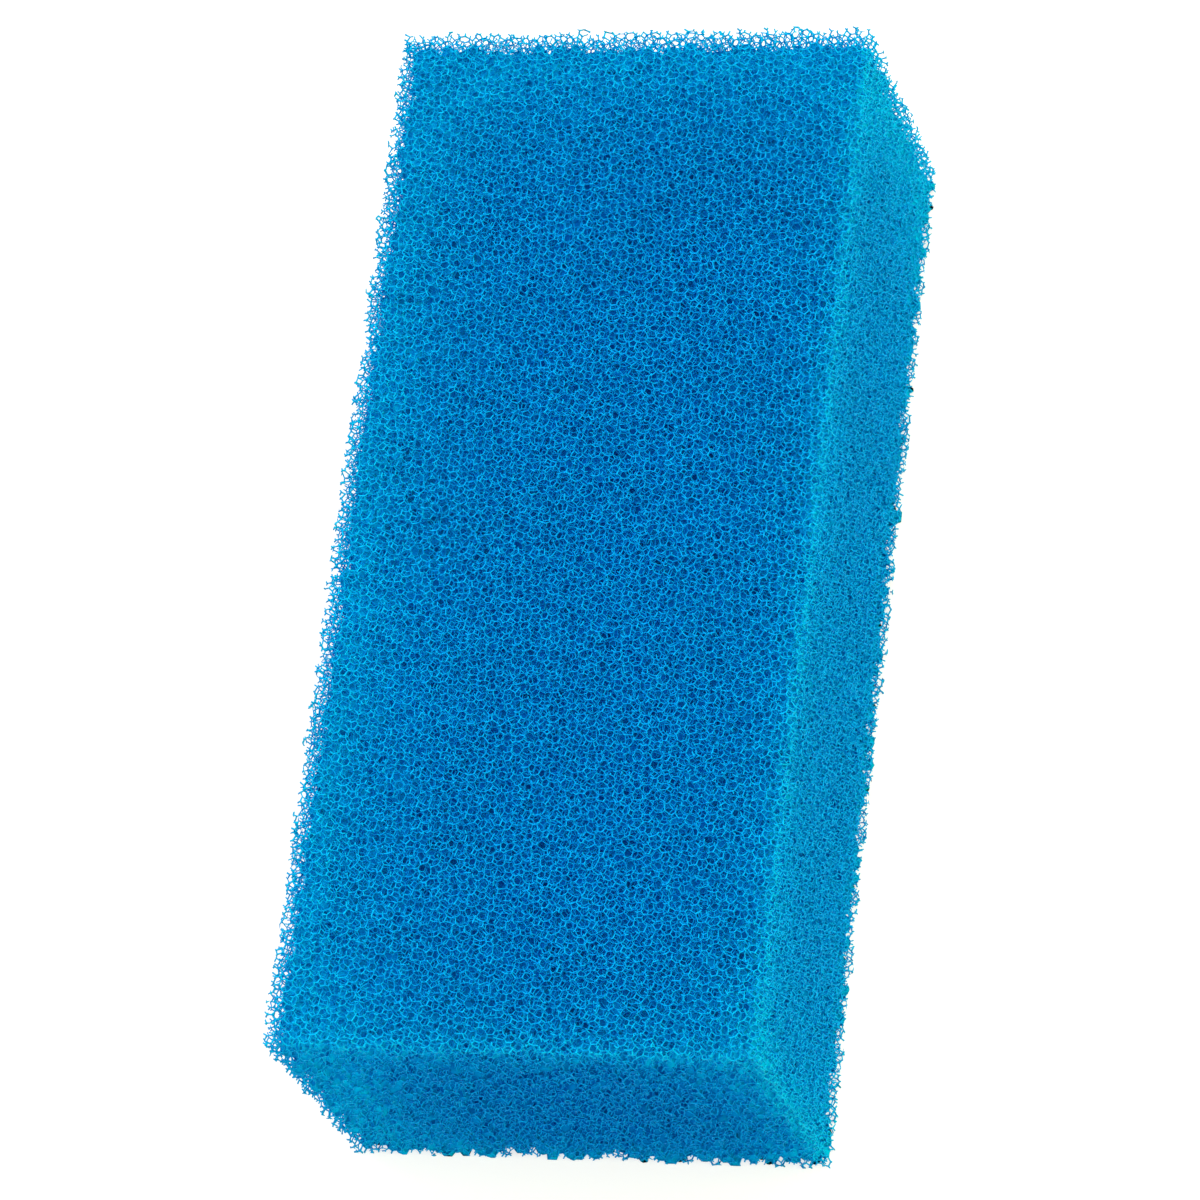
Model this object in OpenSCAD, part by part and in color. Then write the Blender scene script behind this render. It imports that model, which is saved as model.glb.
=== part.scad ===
// Coarse reticulated foam block for an aquarium or pond filter, lying flat on its large face.
// Millimetres. +X runs across the width, +Y along the length, +Z up through the thickness.
// The origin is the centre of the underside.

/* [Block] */
// Width across the block, along X
block_w = 60; // [40:0.5:120]
// Length of the block, along Y
block_l = 133; // [80:0.5:260]
// Thickness of the block, along Z
block_t = 40; // [20:0.5:80]

/* [Cut] */
// Radius of the softened edges, a little under half a foam cell
edge_r = 0.6; // [0.2:0.1:4]

/* [Hidden] */
$fn = 48;

// Rectangle w by h, centred, with quarter-circle corners of radius edge_r.
module soft_rectangle(w, h) {
    square([w - 2 * edge_r, h], center = true);
    square([w, h - 2 * edge_r], center = true);
    for (sx = [-1, 1], sy = [-1, 1])
        translate([sx * (w / 2 - edge_r), sy * (h / 2 - edge_r)]) circle(r = edge_r);
}

// Three bars cross at right angles, and what they share is a block with all twelve edges softened.
module foam_block() {
    color("deepskyblue")
        translate([0, 0, block_t / 2])
            intersection() {
                linear_extrude(height = block_t, center = true) soft_rectangle(block_w, block_l);
                rotate([90, 0, 0])
                    linear_extrude(height = block_l, center = true) soft_rectangle(block_w, block_t);
                rotate([90, 0, 90])
                    linear_extrude(height = block_w, center = true) soft_rectangle(block_l, block_t);
            }
}

foam_block();
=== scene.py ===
import itertools
import math

import bpy
import numpy as np
from mathutils import Euler, Matrix, Vector


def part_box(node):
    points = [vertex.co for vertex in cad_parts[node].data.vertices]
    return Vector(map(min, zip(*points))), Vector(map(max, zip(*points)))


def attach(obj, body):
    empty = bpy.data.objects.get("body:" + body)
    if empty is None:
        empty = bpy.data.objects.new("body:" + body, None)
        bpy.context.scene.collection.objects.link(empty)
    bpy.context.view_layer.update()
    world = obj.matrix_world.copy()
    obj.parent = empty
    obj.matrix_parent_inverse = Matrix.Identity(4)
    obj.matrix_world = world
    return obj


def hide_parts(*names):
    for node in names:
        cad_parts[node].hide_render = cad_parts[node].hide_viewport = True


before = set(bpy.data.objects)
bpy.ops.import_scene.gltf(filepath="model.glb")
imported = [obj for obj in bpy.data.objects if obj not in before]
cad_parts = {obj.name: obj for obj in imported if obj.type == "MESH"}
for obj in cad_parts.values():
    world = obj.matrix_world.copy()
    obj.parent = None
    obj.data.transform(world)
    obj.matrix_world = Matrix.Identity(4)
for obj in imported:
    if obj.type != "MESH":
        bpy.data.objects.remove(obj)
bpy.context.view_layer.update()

# The block of open-cell foam is grown the way the real foam forms. Cell centres are set out evenly,
# the points where four cells meet become joints, and a strut joins each pair of neighbouring joints.
# The struts are real geometry in a layer under every face. Below that layer a closed core of cell
# walls stands for the rest of the network, where no light passes through. It is coloured darker than
# the struts, as painted shade of that deeper foam.

MM = 0.001
NODE = "foam_block"
BODY = "root"

# ---------------------------------------------------------------- the foam's make-up
CELL = 1.23 * MM             # side of a cube that holds as much as one cell
SHAKE = 0.135                # how far a cell strays from its even place, as a share of the lattice's cube
LATTICE_TURN = (34, 28, 31)  # degrees, so that no row of cells lines up with a face
SEED = 7
LAYER_OUT, LAYER_IN = 1.5 * CELL, 1.6 * CELL   # how far outside the faces and into the core cells are laid
LOW_SHELL = (1.5, 1.1, 0.1)    # how deep the open cells go, in mm, at the left, near and under faces
HIGH_SHELL = (1.5, 1.4, 2.8)   # and at the right, far and top ones
LOW_SOLE = (1.2, 0.75, -0.4)   # the same for a thin sole along the core's bottom, which keeps the floor
HIGH_SOLE = (1.3, 1.0, 39.1)   # from showing through the struts
CORE_ROUND = 0.5 * MM        # rounding of the core's edges
CORE_ROUGH = 0.25 * MM       # how unevenly the core begins from cell to cell
CORE_LIMIT = 1.2             # the most that a cell differs, as a multiple of that
DIMPLE = 0.35                # how far a core wall's middle sinks into its cell
STRUT = 0.082 * MM           # from a strut's centre line to each of its three ridges
STRUT_SPREAD = 0.14          # how much that varies from joint to joint, as a share
EDGE_THICKER = 0.75          # how much thicker the frayed struts along the block's edges are
EDGE_REACH = 1.1 * MM        # how far in they stay thicker
JOINT_ANGLE = math.acos(-1 / 3)   # between two of the four struts of an even joint
SETTLE_ROUNDS = 3            # how often the joints are eased towards their neighbours
SETTLE = 0.45                # how far each time, as a share
CUT_IN, CUT_OUT = 0.10 * MM, 0.06 * MM   # how far the cut strays under and over a face
SHORTEST_END = 0.3           # the least that may be left of a cut strut, as a share of its length
SHORTEST_STUB = 0.03         # and the least that is made when the cut runs right by its joint
TEAR = 0.45 * MM             # deepest tear in a cut face
TORN = 0.35                  # share of the cells at a face that are torn

# ---------------------------------------------------------------- limits of the search
RIM_ROUNDS = 60              # more than the edges round any gap in the core
LATTICE_REACH = 12           # squared lattice distance, in half steps, at which cells may be neighbours
NEAR_REACH = 35              # and at which another cell may lie near a joint
MARGIN = 6                   # empty lattice places kept round the layer of cells
LONGEST_PAIR = 3.4           # longest gap between neighbouring cells, in half lattice steps
WIDEST_SPHERE = 1.90         # radius of the widest empty sphere round a joint, in half lattice steps
SEARCH = 3.2                 # how far round a joint other cells are looked for, in half lattice steps
PIECE_FACES = 172000         # the most triangles in one piece
JOINT_FACES = 12.4           # triangles that one joint and its share of the struts take
MAP_USED = 0.96              # share of each field of the flat layout that is filled

# ---------------------------------------------------------------- colours
STRUT_MIDDLE = (0.0, 0.275, 0.785)   # struts far from the block's edges
STRUT_EDGE_LIT = (0.0, 0.540, 0.900)     # and near them, painted lighter for the light that comes in from two sides
CORE_MIDDLE = (0.0, 0.120, 0.480)    # the core, in the same two places, darker than the struts as painted shade of the deeper foam
CORE_EDGE_LIT = (0.0, 0.530, 1.000)
LOW_GLOW = (0.72, 0.19, 0.00)        # how strongly light soaking in by the left, near and under faces is painted into the colour
HIGH_GLOW = (0.21, 0.80, 0.12)       # and by the right, far and top ones; painted strongest at the left and far, as if lit from behind
GLOW_DEPTH = 6.5 * MM                # how far in it reaches
GLOW_SHOWS = 3.3 * MM                # how deep under another face it still shows
STRUT_SOAK = (1.0, 0.34)             # how much of it the struts take up, and the most
CORE_SOAK = (2.8, 0.60)              # and the core
BACKLIT_SHADE_TONE = (0.0, 0.270, 0.520)      # painted shade on the frayed struts right at the edges, darker as seen with light behind
BACKLIT_SHADE_SHARE, BACKLIT_SHADE_DEPTH = 0.6, 1.1 * MM     # how much of that painted shade shows, and how far in
CLOUD_SIZE, CLOUDS = 14 * MM, 0.12   # slow changes of tone: their size and strength
TONE_SIZE, TONES = 1.0 * MM, 0.14    # changes from cell to cell
STRUT_ROUGHNESS, STRUT_SHINE = 0.5, 0.02
CORE_ROUGHNESS, CORE_SHINE = 0.9, 0.0

# ---------------------------------------------------------------- light and camera
LIGHT_LEVEL = 1.12                   # strength of the light, on average from all round
LIGHT_SLOPE = 1.10                   # how much stronger it is from the bright side
LIGHT_SIDE = (0.12, 0.85, 0.50)      # where that side is: far and above
RIGHT_LIGHT = 2.0                    # how much is added from the right
WHITE_LIGHT = (1.0, 1.0, 1.0, 1)
WARM_LIGHT = (1.0, 1.0, 0.28, 1)     # the colour of the light from the right
FLOOR_COLOUR = (0.4, 0.4, 0.4, 1)
FLOOR_GLOW = 0.62                    # light of the floor's own, which keeps it an even white
FLOOR_SIZE, FLOOR_ROUGHNESS = 6, 0.9
AZIMUTH, ELEVATION, ROLL = 36.33, 62.57, -32.57   # degrees
DISTANCE = 6.1865                    # from the middle of the block, in block lengths
LENS, SENSOR = 202.74, 36.0          # mm
AIM = (0.01239, 0.00874)             # the block's place off the picture's middle, in block lengths
NEAREST, FARTHEST = 0.01, 20         # the camera's range

LOW, HIGH = (np.array(corner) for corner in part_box(NODE))
CENTRE = (LOW + HIGH) / 2
HALF = (HIGH - LOW) / 2


# ---------------------------------------------------------------- where the cells and joints are
def block_depth(points, low_shell, high_shell):
    """How far points lie inside a rounded block that begins so many mm under the six faces."""
    low, high = np.array(low_shell) * MM, np.array(high_shell) * MM
    past = np.abs(points - (low - high) / 2) - (HALF - (low + high) / 2 - CORE_ROUND)
    outside = np.linalg.norm(past.clip(0), axis=1)
    return CORE_ROUND - outside - past.max(1).clip(max=0)


def core_depth(points):
    """How far points lie inside the core or its wider sole, and below zero outside them."""
    return np.maximum(block_depth(points, LOW_SHELL, HIGH_SHELL), block_depth(points, LOW_SOLE, HIGH_SOLE))


def edge_gap(points):
    """How far points lie from the nearest edge of the block, as seen square to the nearest face."""
    return np.sort(HALF - np.abs(points), axis=1)[:, 1]


def lattice_offsets(longest):
    """Steps between the points of a body-centred lattice, up to a squared length."""
    reach = range(-MARGIN, MARGIN + 1)
    return [
        step for step in itertools.product(reach, reach, reach)
        if step[0] % 2 == step[1] % 2 == step[2] % 2 and 0 < sum(c * c for c in step) <= longest
    ]


def cell_centres(step, rng):
    """Lattice sites and cell centres in a layer that reaches from outside the faces to the core."""
    turn = np.array(Euler([math.radians(a) for a in LATTICE_TURN]).to_matrix())
    reach = np.ceil(np.abs(turn.T) @ (HALF + LAYER_OUT) / step).astype(int) + 1
    sites, centres = [], []
    for odd in (0, 1):
        axes = [np.arange(-(r // 2) * 2 - odd, r + 1, 2) for r in reach]
        grid = np.stack(np.meshgrid(*axes, indexing="ij"), -1).reshape(-1, 3)
        place = grid @ turn.T * step
        keep = (np.abs(place) < HALF + LAYER_OUT).all(1) & (core_depth(place) < LAYER_IN)
        sites.append(grid[keep])
        centres.append(place[keep])
    sites, centres = np.concatenate(sites), np.concatenate(centres)
    return sites, centres + rng.normal(size=centres.shape) * 2 * step * SHAKE


def close_pairs(sites, cells, step):
    """For each forward lattice offset, each cell's neighbour there, or -1 if it is too far off."""
    low = sites.min(0) - MARGIN
    sides = sites.max(0) + MARGIN + 1 - low
    stride = np.array([sides[1] * sides[2], sides[2], 1])
    flat = (sites - low) @ stride
    index = np.full(sides.prod(), -1, np.int32)
    index[flat] = np.arange(len(sites), dtype=np.int32)
    ahead = {}
    for offset in lattice_offsets(LATTICE_REACH):
        if offset > (0, 0, 0):
            other = index[flat + np.array(offset) @ stride]
            gap = ((cells[other] - cells) ** 2).sum(1)
            ahead[offset] = np.where((other >= 0) & (gap < (LONGEST_PAIR * step) ** 2), other, -1)
    return ahead, index, flat, stride


def sphere_centres(p, q, r, s):
    """Centre and squared radius of the sphere through four points."""
    u, v, w = q - p, r - p, s - p
    vw, wu, uv = np.cross(v, w), np.cross(w, u), np.cross(u, v)
    volume = (u * vw).sum(1)
    volume[volume == 0] = np.nan
    top = (u * u).sum(1)[:, None] * vw + (v * v).sum(1)[:, None] * wu + (w * w).sum(1)[:, None] * uv
    offset = top / (2 * volume[:, None])
    return p + offset, (offset ** 2).sum(1)


def foam_joints(sites, cells, step):
    """Every point where four cells meet, which is the middle of a sphere that touches all four
    centres and holds no other: the four cells, and the place."""
    ahead, index, flat, stride = close_pairs(sites, cells, step)
    around = np.array(lattice_offsets(NEAR_REACH))
    found, places = [], []
    for trio in itertools.combinations(sorted(ahead), 3):
        a, b, c = (np.array(offset) for offset in trio)
        ab, ac, bc = tuple(b - a), tuple(c - a), tuple(c - b)
        if not (ab in ahead and ac in ahead and bc in ahead):
            continue
        i = np.nonzero((ahead[trio[0]] >= 0) & (ahead[trio[1]] >= 0) & (ahead[trio[2]] >= 0))[0]
        j, k, l = (ahead[offset][i] for offset in trio)
        close = (ahead[ab][j] >= 0) & (ahead[ac][j] >= 0) & (ahead[bc][k] >= 0)
        four = np.stack([i, j, k, l], 1)[close]
        place, r2 = sphere_centres(*(cells[four[:, n]] for n in range(4)))
        small = r2 < (WIDEST_SPHERE * step) ** 2
        four, place, r2 = four[small], place[small], r2[small]
        away = np.linalg.norm(around - (a + b + c) / 4, axis=1)
        for n in np.argsort(away):
            if away[n] > SEARCH or not len(four):
                break
            if tuple(around[n]) in trio:
                continue
            other = index[flat[four[:, 0]] + around[n] @ stride]
            empty = (other < 0) | (((cells[other] - place) ** 2).sum(1) > r2)
            four, place, r2 = four[empty], place[empty], r2[empty]
        found.append(four)
        places.append(place)
    return np.sort(np.concatenate(found), 1), np.concatenate(places)


OTHERS = np.array([[1, 2, 3], [0, 2, 3], [0, 1, 3], [0, 1, 2]])


def join_joints(four, n_cells):
    """For each joint's four struts, the number of the same strut as counted from its far end, or -1.
    Strut k of joint j has the number 4 j + k. It runs away from cell k, between the other three."""
    trio = four[:, OTHERS].astype(np.int64)
    key = ((trio[..., 0] * n_cells + trio[..., 1]) * n_cells + trio[..., 2]).ravel()
    order = np.argsort(key, kind="stable")
    same = key[order][1:] == key[order][:-1]
    one, two = order[:-1][same], order[1:][same]
    far = np.full(len(key), -1, np.int64)
    far[one], far[two] = two, one
    return far.reshape(-1, 4)


def settle(place, far):
    """Eases each joint towards the middle of its four neighbours, which evens out the angles."""
    whole = (far >= 0).all(1)
    ends = far[whole] // 4
    for _ in range(SETTLE_ROUNDS):
        moved = place.copy()
        moved[whole] += SETTLE * (place[ends].mean(1) - place[whole])
        place = moved
    return place


def unit(v):
    return v / np.maximum(np.linalg.norm(v, axis=-1, keepdims=True), 1e-12)


def strut_directions(place, far):
    """Unit vectors along each joint's four struts, away from the joint."""
    way = place[far.clip(0) // 4] - place[:, None]
    way[far < 0] = 0
    way = unit(way)
    lost = far < 0
    way[lost] = -unit(way.sum(1))[np.nonzero(lost)[0]]
    return way


class Foam:
    """The network of cells, joints and struts, in metres from the middle of the block."""

    def __init__(self, rng):
        step = CELL * 2 ** (1 / 3) / 2
        sites, self.cells = cell_centres(step, rng)
        self.four, place = foam_joints(sites, self.cells, step)
        self.far = join_joints(self.four, len(self.cells))
        self.place = settle(place, self.far)
        self.way = strut_directions(self.place, self.far)
        thick = STRUT * (1 + STRUT_SPREAD * rng.uniform(-1, 1, len(place)))
        thick *= 1 + EDGE_THICKER * np.exp(-edge_gap(self.place).clip(0) / EDGE_REACH)
        ridge = self.place[:, None] - self.way * (thick / math.sin(JOINT_ANGLE))[:, None, None]
        self.ridge = np.clip(ridge, -HALF, HALF)   # so no strut stands proud of a face
        rough = rng.normal(size=len(self.cells)).clip(-CORE_LIMIT, CORE_LIMIT)
        self.in_core = core_depth(self.cells) > CORE_ROUGH * rough
        tear = TEAR * rng.random(len(self.cells)) * (rng.random(len(self.cells)) < TORN)
        self.inside = (HALF - np.abs(self.place)).min(1) > tear[self.four].max(1)
        open_cells = ~self.in_core[self.four]
        self.strut_open = open_cells[:, OTHERS].any(2)
        self.made = self.inside & open_cells.any(1)


# ---------------------------------------------------------------- meshes
def face_map(points):
    """A flat layout of a piece in six fields, one for each face of the block that a point may be
    nearest, each as wide and high as the piece."""
    axis = (HALF - np.abs(points)).argmin(1)
    flat = (points - points.min(0)) / np.ptp(points, axis=0)
    u = np.where(axis == 0, flat[:, 2], flat[:, 0])
    v = np.where(axis == 1, flat[:, 2], flat[:, 1])
    above = points[np.arange(len(points)), axis] > 0
    rim = (1 - MAP_USED) / 2
    return np.stack([(u * MAP_USED + rim + axis) / 3, (v * MAP_USED + rim + above) / 2], 1)


def new_mesh(name, points, faces, material):
    """A smooth-shaded object from points and lists of faces, each list with its own face size."""
    mesh = bpy.data.meshes.new(name)
    mesh.vertices.add(len(points))
    mesh.vertices.foreach_set("co", (points + CENTRE).astype(np.float32).ravel())
    corners = np.concatenate([f.ravel() for f in faces]).astype(np.int32)
    mesh.loops.add(len(corners))
    mesh.loops.foreach_set("vertex_index", corners)
    sizes = np.concatenate([np.full(len(f), f.shape[1]) for f in faces])
    starts = np.concatenate([[0], np.cumsum(sizes)[:-1]]).astype(np.int32)
    mesh.polygons.add(len(starts))
    mesh.polygons.foreach_set("loop_start", starts)
    mesh.update(calc_edges=True)
    mesh.shade_smooth()
    layer = mesh.uv_layers.new(name="OFBake")
    layer.data.foreach_set("uv", face_map(points)[corners].astype(np.float32).ravel())
    mesh.materials.append(material)
    piece = bpy.data.objects.new(name, mesh)
    bpy.context.scene.collection.objects.link(piece)
    return piece


def cut_ends(start, end, limit, most):
    """Where the three ridges from start to end meet the cut, each strut with its own limits."""
    run = end - start
    room = np.sign(run) * limit[:, None, :] - start
    with np.errstate(all="ignore"):
        share = np.where(np.abs(run) > 1e-9, room / run, np.inf).min(2)
    return start + np.clip(share, SHORTEST_STUB, most[:, None])[..., None] * run


def strut_mesh(foam, joints, rng):
    """The struts of some joints as closed three-sided bars, and the points and faces that make them.
    A strut that a face of the block cuts, or that leads to another piece, ends in a flat cap."""
    local = np.full(len(foam.place), -1, np.int64)
    local[joints] = np.arange(len(joints))
    near = (joints[:, None] * 4 + np.arange(4)).ravel()
    far = foam.far[joints].ravel()
    other = far.clip(0) // 4
    wanted = foam.strut_open[joints].ravel() & (far >= 0)
    here = local[other] >= 0
    cut = wanted & ~foam.inside[other]
    bar = wanted & here & foam.made[other] & (near < far)
    across = wanted & ~here & foam.made[other]
    stub = cut | (across & (near < far))
    cap = ~((wanted & here & foam.made[other]) | stub)

    def corners(number):
        return foam.ridge[(number // 4)[:, None], OTHERS[number % 4]]

    def corner_ids(number):
        return local[number // 4][:, None] * 4 + OTHERS[number % 4]

    ring = corners(near)
    normal = np.cross(ring[:, 1] - ring[:, 0], ring[:, 2] - ring[:, 0])
    wrong = (normal * foam.way[near // 4, near % 4]).sum(1) < 0

    limit = HALF + rng.uniform(-CUT_IN, CUT_OUT, (stub.sum(), 3))
    most = rng.uniform(SHORTEST_END, 1, stub.sum())
    limit[~cut[stub]], most[~cut[stub]] = 10 * HALF, 1
    ends = cut_ends(corners(near[stub]), corners(far[stub]), limit, most)
    end_ids = 4 * len(joints) + np.arange(ends.size // 3).reshape(-1, 3)

    start = np.concatenate([corner_ids(near[bar]), corner_ids(near[stub])])
    end = np.concatenate([corner_ids(far[bar]), end_ids])
    turned = np.concatenate([wrong[bar], wrong[stub]])
    start[turned], end[turned] = start[turned][:, ::-1], end[turned][:, ::-1]
    caps = corner_ids(near[cap])
    caps[wrong[cap]] = caps[wrong[cap]][:, ::-1]
    sides = [
        np.stack([start[:, i], start[:, (i + 1) % 3], end[:, (i + 1) % 3], end[:, i]], 1)
        for i in range(3)
    ]
    points = np.concatenate([foam.ridge[joints].reshape(-1, 3), ends.reshape(-1, 3)])
    return points, [np.concatenate(sides), np.concatenate([end[bar.sum():], caps])]


def close_holes(points, faces):
    """Fills each gap that a joint missed by the search leaves with a fan round the gap's middle."""
    sides = np.concatenate([faces[:, [0, 1]], faces[:, [1, 2]], faces[:, [2, 0]]])
    key = np.sort(sides, 1) @ np.array([len(points), 1])
    _, first, count = np.unique(key, return_index=True, return_counts=True)
    rim = sides[first[count == 1]]
    gap = np.arange(len(points))
    for _ in range(RIM_ROUNDS):
        lower = gap[rim].min(1)
        np.minimum.at(gap, rim[:, 0], lower)
        np.minimum.at(gap, rim[:, 1], lower)
    gaps, gap_of = np.unique(gap[rim[:, 0]], return_inverse=True)
    count = np.bincount(gap_of)
    place = points[rim].mean(1)
    middle = np.stack([np.bincount(gap_of, place[:, axis]) / count for axis in range(3)], 1)
    fans = np.column_stack([rim[:, ::-1], gap_of + len(points)])
    return np.concatenate([points, middle]), np.concatenate([faces, fans])


def core_mesh(foam):
    """The walls between the core's cells and the open ones, each a fan round a sunken middle."""
    one = np.nonzero((foam.far >= 0).ravel() & foam.strut_open.ravel())[0]
    two = foam.far.ravel()[one]
    once = one < two
    one, two = one[once], two[once]
    trio = foam.four[(one // 4)[:, None], OTHERS[one % 4]]
    edges = []
    for m, n in ((0, 1), (0, 2), (1, 2)):
        p, q = trio[:, m], trio[:, n]
        wall = foam.in_core[p] != foam.in_core[q]
        deep = np.where(foam.in_core[p], p, q)
        edges.append(np.stack([one // 4, two // 4, deep, p + q - deep], 1)[wall])
    edges = np.concatenate(edges)
    wall, wall_of = np.unique(edges[:, 2] * len(foam.cells) + edges[:, 3], return_inverse=True)
    middle = foam.place[edges[:, :2]].mean(1)
    count = np.bincount(wall_of)
    middle = np.stack([np.bincount(wall_of, middle[:, axis]) / count for axis in range(3)], 1)
    deep, shallow = wall // len(foam.cells), wall % len(foam.cells)
    middle += DIMPLE * (foam.cells[deep] - middle)
    used, ends = np.unique(edges[:, :2].ravel(), return_inverse=True)
    points = np.concatenate([foam.place[used], middle]).clip(CUT_IN - HALF, HALF - CUT_IN)
    faces = np.column_stack([wall_of + len(used), ends.reshape(-1, 2)])
    a, b, c = (points[faces[:, n]] for n in range(3))
    outward = (foam.cells[shallow] - foam.cells[deep])[wall_of]
    wrong = (np.cross(b - a, c - a) * outward).sum(1) < 0
    faces[wrong] = faces[wrong][:, ::-1]
    points, faces = close_holes(points, faces)
    return points, [faces]


# ---------------------------------------------------------------- materials
class Nodes:
    """A short way to make and join shader nodes."""

    def __init__(self, tree):
        self.tree = tree

    def set(self, socket, value):
        if isinstance(value, bpy.types.NodeSocket):
            self.tree.links.new(value, socket)
        else:
            socket.default_value = value

    def math(self, operation, *values):
        node = self.tree.nodes.new("ShaderNodeMath")
        node.operation = operation
        for socket, value in zip(node.inputs, values):
            self.set(socket, value)
        return node.outputs[0]

    def fade(self, gap, depth):
        """One where the gap is none, and less and less over that depth."""
        return self.math("EXPONENT", self.math("DIVIDE", gap, -depth))

    def vector(self, operation, *values):
        node = self.tree.nodes.new("ShaderNodeVectorMath")
        node.operation = operation
        for socket, value in zip(node.inputs, values):
            self.set(socket, value)
        return node.outputs["Value" if operation == "DOT_PRODUCT" else "Vector"]

    def noise(self, place, size, detail):
        node = self.tree.nodes.new("ShaderNodeTexNoise")
        self.set(node.inputs["Vector"], place)
        node.inputs["Scale"].default_value = 1 / size
        node.inputs["Detail"].default_value = detail
        return node.outputs["Fac"]

    def mix(self, share, a, b):
        node = self.tree.nodes.new("ShaderNodeMix")
        node.data_type = "RGBA"
        self.set(node.inputs[0], share)
        self.set(node.inputs[6], a)
        self.set(node.inputs[7], b)
        return node.outputs[2]


def face_gaps(nodes, place):
    """How far a point lies from the low and from the high face, as x, y and z each."""
    ends = []
    for corner in (LOW, HIGH):
        split = nodes.tree.nodes.new("ShaderNodeSeparateXYZ")
        nodes.set(split.inputs[0], nodes.vector("ABSOLUTE", nodes.vector("SUBTRACT", place, corner)))
        ends.append(split.outputs)
    return ends


def soaked_light(nodes, lows, highs):
    """How much painted light comes in by one face and shows on the faces round it."""
    comes, shows = [], []
    for low, high, low_glow, high_glow in zip(lows, highs, LOW_GLOW, HIGH_GLOW):
        comes.append(nodes.math("MAXIMUM", nodes.math("MULTIPLY", nodes.fade(low, GLOW_DEPTH), low_glow),
                                nodes.math("MULTIPLY", nodes.fade(high, GLOW_DEPTH), high_glow)))
        shows.append(nodes.fade(nodes.math("MINIMUM", low, high), GLOW_SHOWS))
    total = 0.0
    for axis in range(3):
        round_it = nodes.math("ADD", shows[axis - 1], shows[axis - 2])
        total = nodes.math("MULTIPLY_ADD", comes[axis], round_it, total)
    return total


def backlit_edges(nodes, lows, highs):
    """Where the painted shade of backlit struts goes: one at the block's edges, and less and less away
    from them.
    """
    x, y, z = (nodes.math("MINIMUM", low, high) for low, high in zip(lows, highs))
    second = nodes.math("MAXIMUM", nodes.math("MINIMUM", x, y),
                        nodes.math("MINIMUM", nodes.math("MAXIMUM", x, y), z))
    return nodes.fade(second, BACKLIT_SHADE_DEPTH)


def foam_material(name, middle, edge, soak, roughness, shine):
    """Dyed foam, with painted light round the block's edges and painted shade right at them, cloudy over
    centimetres, uneven from cell to cell.
    """
    material = bpy.data.materials.new(name)
    material.use_nodes = True
    nodes = Nodes(material.node_tree)
    place = nodes.tree.nodes.new("ShaderNodeTexCoord").outputs["Object"]
    gaps = face_gaps(nodes, place)
    amount, most = soak
    # painted light: lighter where light would soak in by the faces
    soaked = nodes.math("MINIMUM", nodes.math("MULTIPLY", soaked_light(nodes, *gaps), amount), most)
    base = nodes.mix(soaked, (*middle, 1), (*edge, 1))
    # painted shade: the struts right at the edges darker, as seen with light behind
    base = nodes.mix(nodes.math("MULTIPLY", backlit_edges(nodes, *gaps), BACKLIT_SHADE_SHARE), base, (*BACKLIT_SHADE_TONE, 1))
    clouds = nodes.math("MULTIPLY", nodes.noise(place, CLOUD_SIZE, 2), CLOUDS)
    shade = nodes.math("MULTIPLY_ADD", nodes.noise(place, TONE_SIZE, 1), TONES, clouds)
    shade = nodes.math("ADD", shade, 1 - (CLOUDS + TONES) / 2)
    colour = nodes.vector("SCALE", base)
    nodes.set(colour.node.inputs["Scale"], shade)
    shader = nodes.tree.nodes["Principled BSDF"]
    nodes.set(shader.inputs["Base Color"], colour)
    shader.inputs["Roughness"].default_value = roughness
    shader.inputs["Specular IOR Level"].default_value = shine
    return material


# ---------------------------------------------------------------- stage
def white_floor():
    """A plain floor that the block lies on."""
    bpy.ops.mesh.primitive_plane_add(size=FLOOR_SIZE, location=(0, 0, LOW[2]))
    floor = bpy.context.object
    floor.name = "floor"
    material = bpy.data.materials.new("floor_white")
    material.use_nodes = True
    shader = material.node_tree.nodes["Principled BSDF"]
    shader.inputs["Base Color"].default_value = FLOOR_COLOUR
    shader.inputs["Roughness"].default_value = FLOOR_ROUGHNESS
    shader.inputs["Emission Color"].default_value = (1, 1, 1, 1)
    shader.inputs["Emission Strength"].default_value = FLOOR_GLOW
    floor.data.materials.append(material)
    return floor


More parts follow.
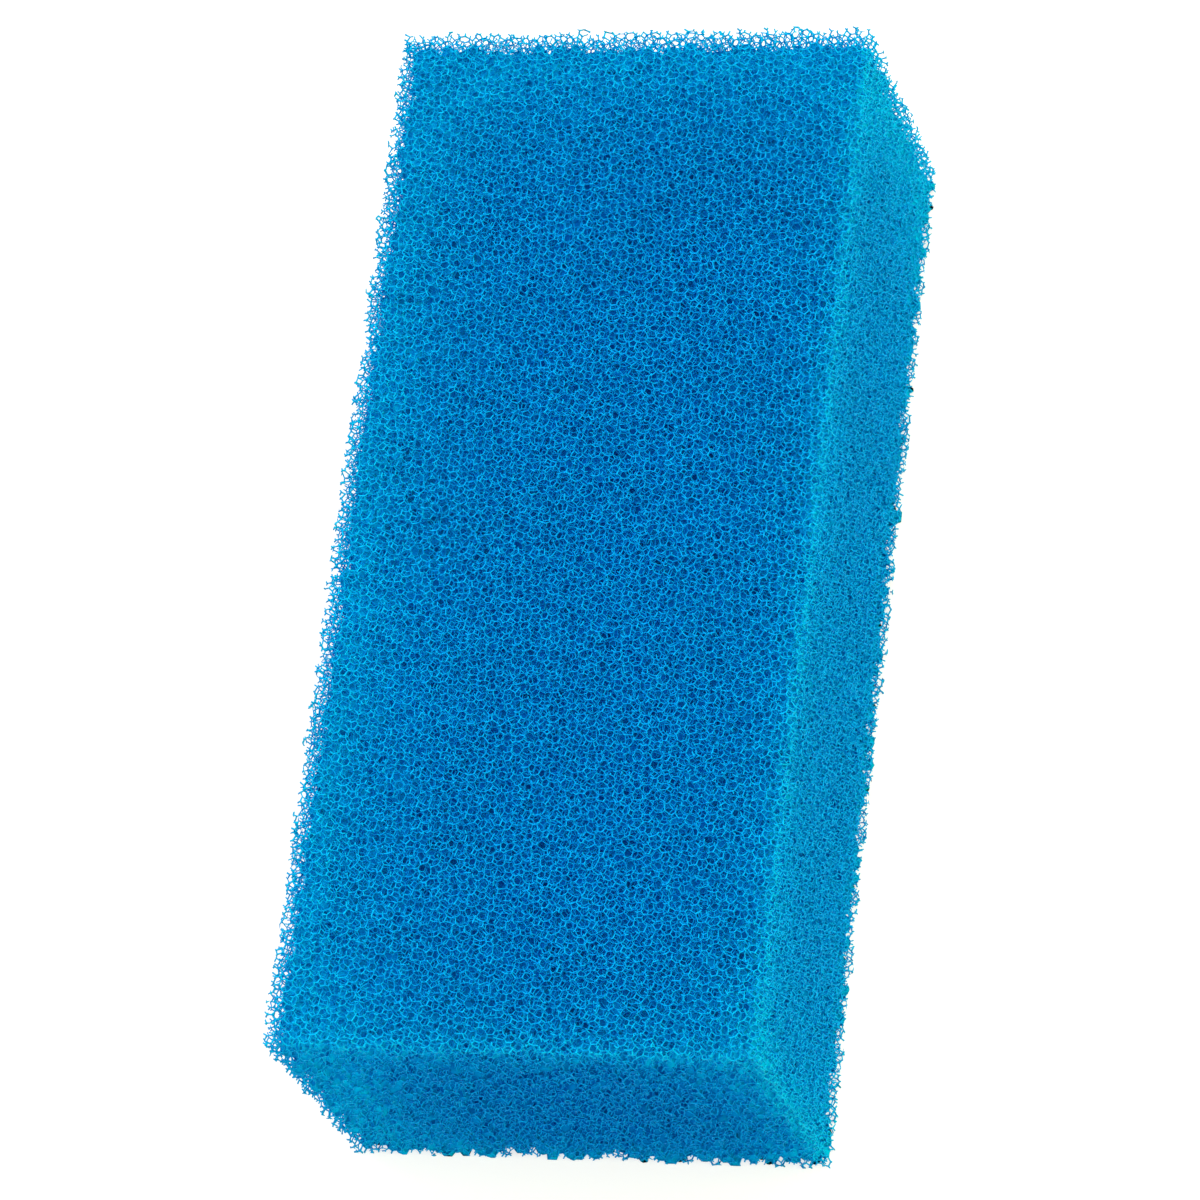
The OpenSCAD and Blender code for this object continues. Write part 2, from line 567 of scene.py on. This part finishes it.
def studio_light():
    """A white room, soft all round, that is brighter at the far side and above, and warmer and
    brighter at the right."""
    world = bpy.data.worlds.new("studio")
    bpy.context.scene.world = world
    world.use_nodes = True
    nodes = Nodes(world.node_tree)
    direction = nodes.tree.nodes.new("ShaderNodeTexCoord").outputs["Generated"]
    toward = nodes.vector("DOT_PRODUCT", direction, tuple(Vector(LIGHT_SIDE).normalized()))
    background = nodes.tree.nodes["Background"]
    right = nodes.math("MAXIMUM", nodes.vector("DOT_PRODUCT", direction, (1, 0, 0)), 0.0)
    nodes.set(background.inputs["Color"], nodes.mix(right, WHITE_LIGHT, WARM_LIGHT))
    slope = nodes.math("MULTIPLY_ADD", toward, LIGHT_SLOPE, LIGHT_LEVEL)
    nodes.set(background.inputs["Strength"], nodes.math("MULTIPLY_ADD", right, RIGHT_LIGHT, slope))
    bpy.context.scene.view_settings.view_transform = "Standard"


def set_camera():
    """A long lens from high up at the near right, turned so that the block stands tall."""
    length = 2 * HALF[1]
    azimuth, elevation = math.radians(AZIMUTH), math.radians(ELEVATION)
    away = Vector((
        math.sin(azimuth) * math.cos(elevation),
        -math.cos(azimuth) * math.cos(elevation),
        math.sin(elevation),
    ))
    turn = (-away).to_track_quat("-Z", "Y").to_matrix() @ Matrix.Rotation(math.radians(ROLL), 3, "Z")
    camera = bpy.data.objects.new("camera", bpy.data.cameras.new("camera"))
    bpy.context.scene.collection.objects.link(camera)
    camera.data.lens = LENS
    camera.data.sensor_width = SENSOR
    camera.rotation_mode = "QUATERNION"
    camera.rotation_quaternion = turn.to_quaternion()
    camera.location = Vector(CENTRE) + turn @ Vector((-AIM[0], -AIM[1], DISTANCE)) * length
    camera.data.clip_start, camera.data.clip_end = NEAREST, FARTHEST
    bpy.context.scene.camera = camera


# ---------------------------------------------------------------- the block
def foam_pieces():
    """The open struts in slices along the length, none of them too large, and the core."""
    rng = np.random.default_rng(SEED)
    foam = Foam(rng)
    struts = foam_material(
        "blue_foam", STRUT_MIDDLE, STRUT_EDGE_LIT, STRUT_SOAK, STRUT_ROUGHNESS, STRUT_SHINE)
    # the core's darker colours are painted shade of the deeper foam it stands for
    inner = foam_material(
        "inner_foam", CORE_MIDDLE, CORE_EDGE_LIT, CORE_SOAK, CORE_ROUGHNESS, CORE_SHINE)
    joints = np.nonzero(foam.made)[0]
    joints = joints[np.argsort(foam.place[joints, 1], kind="stable")]
    count = math.ceil(len(joints) * JOINT_FACES / PIECE_FACES)
    pieces = []
    for number, part in enumerate(np.array_split(joints, count), 1):
        pieces.append(new_mesh(f"foam_slice_{number:02d}", *strut_mesh(foam, part, rng), struts))
    pieces.append(new_mesh("foam_core", *core_mesh(foam), inner))
    return pieces


for piece in foam_pieces():
    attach(piece, BODY)
    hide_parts(NODE)
white_floor()
studio_light()
set_camera()
